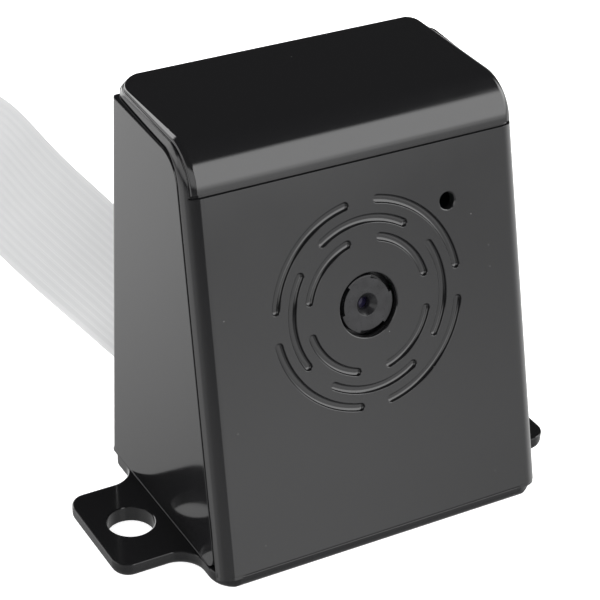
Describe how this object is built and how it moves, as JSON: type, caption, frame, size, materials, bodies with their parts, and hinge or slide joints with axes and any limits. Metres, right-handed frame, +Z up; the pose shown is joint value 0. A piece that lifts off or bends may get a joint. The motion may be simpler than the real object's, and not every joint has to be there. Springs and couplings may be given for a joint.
{
  "type": "fixed camera case",
  "caption": "Wedge-shaped camera case with a sloping front, ring grooves round the lens, two base ears for screws, a slide-off rear cover and a flat ribbon cable.",
  "frame": {"origin": "on the underside of the base plate, midway between the ear hole and the slot opposite", "axes": "+Z up, +Y towards the back where the cable leaves, +X to the right seen from the front"},
  "size_m": [0.0607, 0.1547, 0.0499],
  "materials": {
    "case_black": "gloss moulded",
    "satin_black": "satin moulded",
    "board_green": "solder mask",
    "cream_plastic": "satin moulded",
    "lens_glass": "coated",
    "filter_glass": "coated",
    "silicon": "polished",
    "foam": "open cell",
    "flex_amber": "film",
    "ribbon_white": "film",
    "film_blue": "film",
    "chip_black": "moulded",
    "ceramic_tan": "ceramic",
    "can_steel": "satin"
  },
  "bodies": {
    "front_case": {"front_shell": "case_black", "camera_board": "board_green", "foam_pad": "foam", "sensor_base": "board_green", "image_sensor": "silicon", "ir_filter": "filter_glass", "lens_holder": "satin_black", "module_flex": "flex_amber", "flex_plug": "chip_black", "flex_socket": "cream_plastic", "status_led": "cream_plastic", "ffc_connector": "cream_plastic", "ribbon_cable": "ribbon_white", "ribbon_near_stiffener": "film_blue", "ribbon_far_stiffener": "film_blue", "oscillator": "can_steel", "regulator_1": "chip_black", "regulator_2": "chip_black", "capacitor_1": "ceramic_tan", "capacitor_2": "ceramic_tan", "capacitor_3": "ceramic_tan", "capacitor_4": "ceramic_tan", "resistor_1": "chip_black", "resistor_2": "chip_black", "resistor_3": "chip_black"},
    "back_cover": {"rear_cover": "case_black"},
    "focus_barrel": {"lens_barrel": "satin_black", "front_lens": "lens_glass", "rear_lens": "lens_glass"},
    "cable_latch": {"ffc_latch": "satin_black"}
  },
  "joints": [
    {"name": "rear_cover_slide", "type": "slide", "parent": "front_case", "child": "back_cover", "axis": [0, 1, 0], "range_m": [0, 0.032]},
    {"name": "lens_focus", "type": "hinge", "parent": "front_case", "child": "focus_barrel", "pos_m": [0, -0.00677, 0.02898], "axis": [0, -0.9641, 0.2656], "range_deg": [-45, 270]},
    {"name": "latch_slide", "type": "slide", "parent": "front_case", "child": "cable_latch", "axis": [0, -0.2656, -0.9641], "range_m": [0, 0.0012]}
  ]
}
